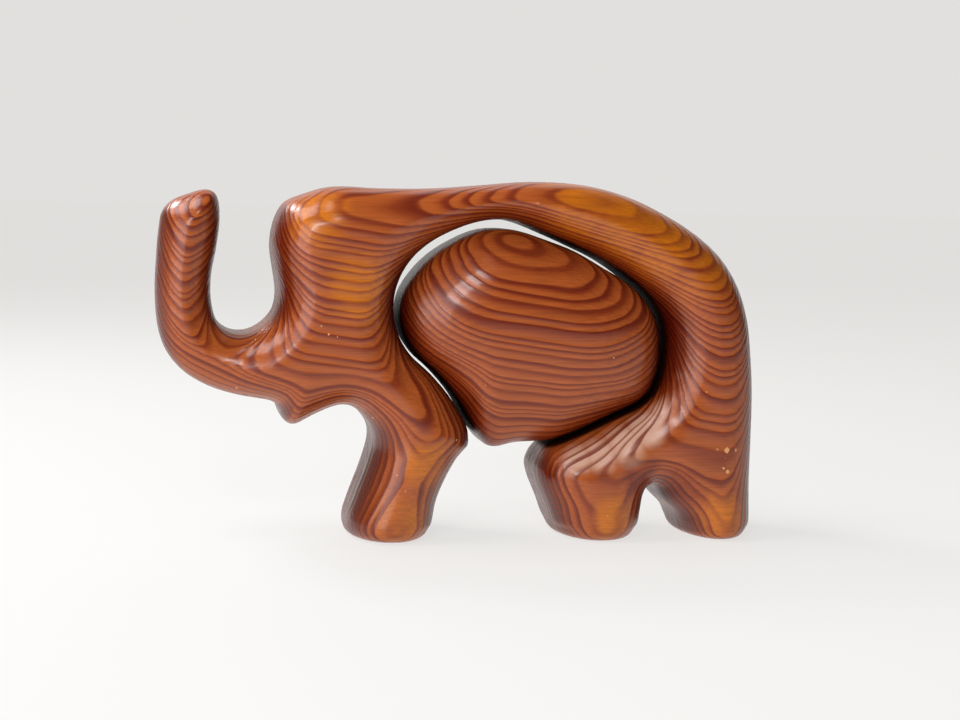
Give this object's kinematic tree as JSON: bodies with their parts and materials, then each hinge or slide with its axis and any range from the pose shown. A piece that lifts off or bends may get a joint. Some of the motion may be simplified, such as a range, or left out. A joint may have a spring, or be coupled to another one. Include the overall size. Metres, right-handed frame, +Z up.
{
  "type": "carved wooden elephant",
  "caption": "Standing elephant with a raised trunk, sawn and sanded from a thick wooden board, with a loose domed belly piece resting in the opening through its middle.",
  "frame": {"origin": "on the floor under the figure, midway between the trunk and the rump and midway through the board", "axes": "+X from the trunk towards the rump, +Y through the board's thickness to its far face, +Z up"},
  "size_m": [0.2, 0.048, 0.1177],
  "materials": {
    "stained_cedar": "satin lacquer over stained softwood with raised grain lines"
  },
  "bodies": {
    "elephant": {"outer_elephant": "stained_cedar"},
    "belly": {"belly_piece": "stained_cedar"}
  },
  "joints": [
    {"name": "belly_slide", "type": "slide", "parent": "elephant", "child": "belly", "axis": [0, 1, 0], "range_m": [-0.06, 0.06]}
  ]
}
